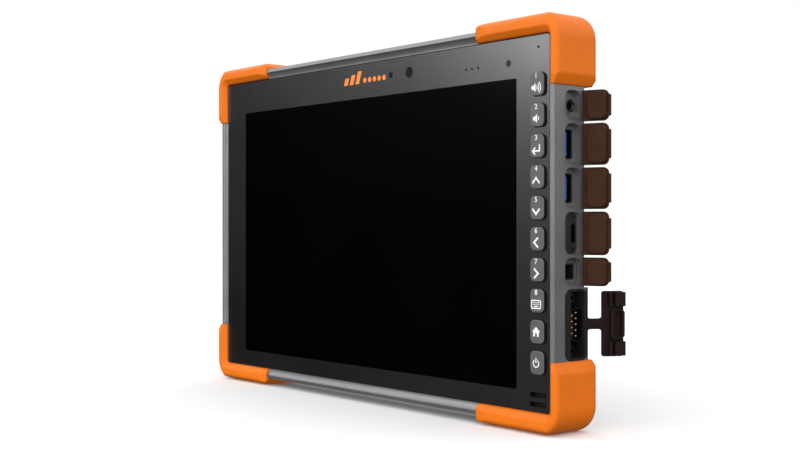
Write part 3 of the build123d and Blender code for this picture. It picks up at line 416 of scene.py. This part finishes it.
def chevron_icon(turn):
    """A chevron that points up, turned by this many quarter turns to the left."""
    points = [(-2.3, -1.3), (0, 1.3), (2.3, -1.3)]
    for _ in range(turn):
        points = [(-z, x) for x, z in points]
    return [[stroke(points, CHEVRON_LINE)]]


def keyboard_icon():
    """A keyboard in outline: two rows of five keys, and a long one."""
    shapes = [[rounded((0, 0), 6.4, 4.3, 0.9), rounded((0, 0), 5.2, 3.1, 0.5)]]
    for z in (0.85, 0.0):
        for column in range(5):
            shapes.append([rounded((-1.8 + 0.9 * column, z), 0.5, 0.5, 0.1)])
    shapes.append([rounded((0, -0.95), 2.6, 0.5, 0.1)])
    return shapes


def home_icon():
    """A small house."""
    roof = [(-2.6, 0.1), (0, 2.5), (2.6, 0.1), (1.8, 0.1), (1.8, -2.1), (0.6, -2.1),
            (0.6, -0.6), (-0.6, -0.6), (-0.6, -2.1), (-1.8, -2.1), (-1.8, 0.1)]
    return [[roof]]


def power_icon():
    """A broken ring with a bar at its gap."""
    ring = stroke(arc((0, -0.2), 1.75, 128, 412, 28), POWER_LINE)
    bar = stroke([(0, 2.3), (0, 0.0)], POWER_LINE)
    return [[ring], [bar]]


def numeral(text, centre, face, body, material):
    """A small number above a key's icon."""
    font = bpy.data.curves.new("numeral", "FONT")
    font.body = text
    font.size = NUMERAL_HEIGHT * MM / CAPITAL_SHARE
    font.align_x = "CENTER"
    font.align_y = "CENTER"
    font.extrude = (PRINT_PROUD + PRINT_DEPTH) / 2
    font.offset = NUMERAL_WEIGHT
    carrier = add_object("numeral", font)
    bpy.context.view_layer.update()
    mesh = bpy.data.meshes.new_from_object(carrier)
    bpy.data.objects.remove(carrier)
    mid_x = (min(v.co.x for v in mesh.vertices) + max(v.co.x for v in mesh.vertices)) / 2
    mid_z = (min(v.co.y for v in mesh.vertices) + max(v.co.y for v in mesh.vertices)) / 2
    middle = face - (PRINT_PROUD - PRINT_DEPTH) / 2
    for vertex in mesh.vertices:
        x, z, depth = vertex.co
        vertex.co = (centre[0] + x - mid_x, middle - depth, centre[1] + z - mid_z)
    mesh.materials.clear()
    mesh.materials.append(material)
    piece = add_object("numeral_" + text, mesh)
    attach(piece, body)


def print_keys(finish):
    """Icons on the ten keys, and numbers on the first eight."""
    icons = (
        ("volume_up", speaker_icon(3)), ("volume_down", speaker_icon(1)), ("enter", enter_icon()),
        ("arrow_up", chevron_icon(0)), ("arrow_down", chevron_icon(2)), ("arrow_left", chevron_icon(1)),
        ("arrow_right", chevron_icon(3)), ("keyboard", keyboard_icon()), ("home", home_icon()),
        ("power", power_icon()))
    for order, (key, shapes) in enumerate(icons):
        low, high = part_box("key_" + key)
        middle = ((low.x + high.x) / 2, (low.z + high.z) / 2)
        numbered = order < NUMBERED_KEYS
        lift = (ICON_LOW if numbered else ICON_HIGH) * MM
        printed("icon_" + key, shapes, (middle[0], middle[1] + lift), low.y, "key_" + key,
                finish["print_white"])
        if numbered:
            numeral(str(order + 1), (middle[0], middle[1] + NUMERAL_PLACE * MM), low.y, "key_" + key,
                    finish["print_white"])


# The mark on the panel, in millimetres
MARK_PLACE = (-20.0, 2.0)      # from the left edge of the small windows, and above their middle
BAR_HEIGHTS = (4.0, 5.5, 7.0)
BAR_FIRST = -20.0
BAR_PITCH = 5.2
BAR_WIDTH = 3.4
BAR_FOOT = -3.5
BAR_LEAN = 0.35
DOTS = 5
DOT_FIRST = (-1.0, -1.9)
DOT_PITCH = 4.2
DOT_R = 1.45


def print_mark(finish):
    """A plain mark: three leaning bars and a row of dots."""
    light_low, light_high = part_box("sensor_windows")
    centre = (light_low.x + MARK_PLACE[0] * MM, (light_low.z + light_high.z) / 2 + MARK_PLACE[1] * MM)
    shapes = []
    for i, height in enumerate(BAR_HEIGHTS):
        left = BAR_FIRST + BAR_PITCH * i
        right = left + BAR_WIDTH
        lean = height * BAR_LEAN
        shapes.append([[(left, BAR_FOOT), (right, BAR_FOOT), (right + lean, height + BAR_FOOT),
                        (left + lean, height + BAR_FOOT)]])
    for i in range(DOTS):
        shapes.append([disc((DOT_FIRST[0] + DOT_PITCH * i, DOT_FIRST[1]), DOT_R)])
    printed("maker_mark", shapes, centre, PANEL_FACE, ROOT, finish["print_orange"])


# Microphone holes, in millimetres from the window's middle
MIC_PLACES = ((83.9, 82.15), (88.35, 82.15), (92.75, 82.15), (133.7, 88.1))
# black discs that stand for the shade inside the microphone holes
MIC_SHADE_DISC_R = 0.68
MIC_SHADE_DISC_DEPTH = 0.25 * MM


def shade_microphone_holes(finish):
    """Black discs a little way inside the four microphone holes, as painted shade in the holes."""
    shapes = [[disc(place, MIC_SHADE_DISC_R)] for place in MIC_PLACES]
    centre = (WINDOW_CENTRE.x, WINDOW_CENTRE.z)
    printed("microphone_hole_shade", shapes, centre, PANEL_FACE + MIC_SHADE_DISC_DEPTH, ROOT,
            finish["black_foam"])


# ---------------------------------------------------------------- the serial cap's strap

# Sizes in millimetres, and places from the cap's hinge line
CAP_OPEN = math.radians(60.0)      # the way to the cap at rest, from +X
STRAP_ROOT = Vector((-1.7, -3.9, 0))
STRAP_REACH = 4.3                  # from the hinge line to the strap's end in the cap
STRAP_HEIGHT = 5.1
STRAP_THICK = 1.7
STRAP_ROUND = 0.42                 # corner radius as a share of the thickness
STRAP_FLARE = 1.6                  # how much it widens at both ends, up and down
FLARE_SHARE = 0.28                 # over this share of its length
FLARE_POWER = 2.2
STRAP_STEPS = 24


def make_strap(finish):
    """The rubber strap between the port's surround and its cap, which bends where the joint turns."""
    hinge = next(Vector(j["pos_m"]) for j in frame["joints"] if j["child"] == "serial_cap")
    cap_way = Vector((math.cos(CAP_OPEN), math.sin(CAP_OPEN), 0))
    root = hinge + STRAP_ROOT * MM
    tip = hinge + cap_way * STRAP_REACH * MM
    rings = []
    strap = bmesh.new()
    for i in range(STRAP_STEPS + 1):
        t = i / STRAP_STEPS
        centre = root * (1 - t) ** 2 + hinge * 2 * t * (1 - t) + tip * t ** 2
        along = ((hinge - root) * (1 - t) + (tip - hinge) * t).normalized()
        across = Vector((along.y, -along.x, 0))
        flare = STRAP_FLARE * (max(0, FLARE_SHARE - min(t, 1 - t)) / FLARE_SHARE) ** FLARE_POWER
        ring = []
        for x, z in rounded((0, 0), STRAP_THICK, STRAP_HEIGHT + 2 * flare, STRAP_THICK * STRAP_ROUND):
            ring.append(strap.verts.new(centre + (across * x + Vector((0, 0, z))) * MM))
        rings.append(ring)
    for first, second in zip(rings, rings[1:]):
        for j in range(len(first)):
            k = (j + 1) % len(first)
            strap.faces.new((first[j], first[k], second[k], second[j]))
    strap.faces.new(rings[0])
    strap.faces.new(rings[-1])
    bmesh.ops.recalc_face_normals(strap, faces=strap.faces)
    mesh = bpy.data.meshes.new("cap_strap")
    strap.to_mesh(mesh)
    strap.free()
    for face in mesh.polygons:
        face.use_smooth = len(face.vertices) == 4
    mesh.materials.append(finish["cap_rubber"])
    piece = add_object("cap_strap", mesh)
    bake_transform(piece)


# ---------------------------------------------------------------- stage, light and camera

SKY_LEVEL = 2.0
# Light by height: 0 is straight down, 0.5 the horizon, 1 straight up
SKY_BY_HEIGHT = ((0.0, 0.02), (0.22, 0.08), (0.27, 0.14), (0.33, 0.14), (0.40, 0.04), (0.50, 0.15),
                 (0.55, 0.50), (0.60, 1.0), (0.75, 1.0), (1.0, 0.50))
# Ranges of the direction's X, Z and Y over which the sky changes
LEFT_EDGE = (-0.85, -0.64)         # dark on the far left, so that the glass has nothing to show there
LEFT_LEVEL = 0.03
OVERHEAD_EDGE = (0.24, 0.46)       # but not this high up
BEHIND_EDGE = (0.2, 0.7)           # dimmer behind
BEHIND_LEVEL = 0.6
FLOOR_TONE = 0.86
FLOOR_SIZE = (12, 12)
DOME_RADIUS = 5.0
DOME_GLOW = 1.0

# Lights: distances and sizes in metres, power in watts
SOFTBOX_PLACE = Vector((1.35, -1.05, 0.35))
SOFTBOX_SIZE = (0.9, 0.9)
SOFTBOX_POWER = 3.5
LAMP_DISTANCE = 1.5
FILL_TURN = math.radians(22.0)     # from below in front, for the slopes that look down at the glass
FILL_RISE = -0.60
FILL_SIZE = (0.8, 0.5)
FILL_POWER = 9
GLOW_TURN = math.radians(33.0)     # for the sheen in the top right of the panel
GLOW_RISE = math.radians(19.0)
GLOW_SIZE = (0.5, 0.45)
GLOW_POWER = 3.6

CAMERA_OFFSET = Vector((525.95, -414.22, 4.14)) * MM   # from the middle of the window's front
VIEW_TURN = math.radians(50.0)
LENS = 54.17                       # focal length and sensor width, both in millimetres
SENSOR = 36.0


def plane(name, centre, size, facing, material):
    """A flat stage piece of size (width, height), its front along facing."""
    mesh = bpy.data.meshes.new(name)
    w, h = size[0] / 2, size[1] / 2
    mesh.from_pydata([(-w, -h, 0), (w, -h, 0), (w, h, 0), (-w, h, 0)], [], [(0, 1, 2, 3)])
    mesh.materials.append(material)
    piece = add_object(name, mesh)
    piece.location = centre
    piece.rotation_euler = Vector(facing).to_track_quat("Z", "Y").to_euler()
    return piece


def area_light(name, place, target, size, power):
    """A soft light that the camera doesn't see directly."""
    light = bpy.data.lights.new(name, "AREA")
    light.shape = "RECTANGLE"
    light.size, light.size_y = size
    light.energy = power
    lamp = add_object(name, light)
    lamp.location = place
    lamp.rotation_euler = (Vector(target) - Vector(place)).to_track_quat("-Z", "Y").to_euler()
    lamp.visible_camera = False


def sky(world):
    """Studio light from all round: little from below, most from 12 to 30 degrees up, little far left."""
    tree = world.node_tree
    place = tree.nodes.new("ShaderNodeTexCoord")
    split = tree.nodes.new("ShaderNodeSeparateXYZ")
    tree.links.new(place.outputs["Generated"], split.inputs["Vector"])
    x, y, z = (split.outputs[axis] for axis in "XYZ")
    upward = tree.nodes.new("ShaderNodeValToRGB")
    stops = upward.color_ramp.elements
    stops[0].position, stops[1].position = SKY_BY_HEIGHT[0][0], SKY_BY_HEIGHT[-1][0]
    for spot, _ in SKY_BY_HEIGHT[1:-1]:
        stops.new(spot)
    for stop, (_, level) in zip(stops, SKY_BY_HEIGHT):
        stop.color = (level, level, level, 1)
    tree.links.new(spread(tree, z, (-1, 1), (0, 1)), upward.inputs["Fac"])
    sideways = spread(tree, x, LEFT_EDGE, (LEFT_LEVEL, 1))
    overhead = spread(tree, z, OVERHEAD_EDGE, (0, 1))
    behind = spread(tree, y, BEHIND_EDGE, (SKY_LEVEL, SKY_LEVEL * BEHIND_LEVEL))
    strength = combine(tree, "MULTIPLY", combine(tree, "MAXIMUM", sideways, overhead), behind)
    background = tree.nodes["Background"]
    tree.links.new(upward.outputs["Color"], background.inputs["Color"])
    tree.links.new(strength, background.inputs["Strength"])


def pale_dome():
    """A pale surround that only the camera sees, so that it doesn't light the object."""
    mesh = bpy.data.meshes.new("dome")
    ball = bmesh.new()
    bmesh.ops.create_uvsphere(ball, u_segments=48, v_segments=24, radius=DOME_RADIUS)
    ball.to_mesh(mesh)
    ball.free()
    material, principled = shader("dome_pale")
    principled.inputs["Base Color"].default_value = (0, 0, 0, 1)
    principled.inputs["Roughness"].default_value = 1.0
    principled.inputs["Specular IOR Level"].default_value = 0.0
    principled.inputs["Emission Color"].default_value = (1, 1, 1, 1)
    principled.inputs["Emission Strength"].default_value = DOME_GLOW
    mesh.materials.append(material)
    dome = add_object("dome", mesh)
    for ray in ("diffuse", "glossy", "transmission", "shadow"):
        setattr(dome, "visible_" + ray, False)


def build_stage():
    """A pale floor and surround, light from above, a softbox beside the camera, and two lamps in front.

    The floor doesn't block or reflect the light that falls on the object."""
    world = bpy.data.worlds.new("studio")
    bpy.context.scene.world = world
    world.use_nodes = True
    sky(world)
    pale = surface("floor_pale", (FLOOR_TONE, FLOOR_TONE, FLOOR_TONE), 0.9, specular=0.0, grain=20 * MM,
                   relief=0.1 * MM, strength=0.05, vary=0.01, patch=0.5)
    floor = plane("floor", (0, 0, 0), FLOOR_SIZE, (0, 0, 1), pale)
    floor.visible_diffuse = False
    floor.visible_glossy = False
    floor.visible_shadow = False
    pale_dome()
    middle = WINDOW_CENTRE
    area_light("side_softbox", middle + SOFTBOX_PLACE, middle, SOFTBOX_SIZE, SOFTBOX_POWER)
    low = Vector((math.sin(FILL_TURN), -math.cos(FILL_TURN), FILL_RISE))
    area_light("front_fill", middle + low * LAMP_DISTANCE, middle, FILL_SIZE, FILL_POWER)
    glow = Vector((-math.sin(GLOW_TURN) * math.cos(GLOW_RISE),
                   -math.cos(GLOW_TURN) * math.cos(GLOW_RISE), math.sin(GLOW_RISE)))
    area_light("bezel_glow", middle + glow * LAMP_DISTANCE, middle, GLOW_SIZE, GLOW_POWER)


def build_camera():
    """A level camera to the right of the front."""
    camera = bpy.data.cameras.new("camera")
    camera.lens = LENS
    camera.sensor_width = SENSOR
    eye = add_object("camera", camera)
    eye.location = WINDOW_CENTRE + CAMERA_OFFSET
    eye.rotation_euler = (math.radians(90.0), 0, VIEW_TURN)
    bpy.context.scene.camera = eye


finish = build_materials()
dress_frame(finish)
print_keys(finish)
print_mark(finish)
shade_microphone_holes(finish)
make_strap(finish)
build_stage()
build_camera()
bpy.context.scene.view_settings.view_transform = "Standard"
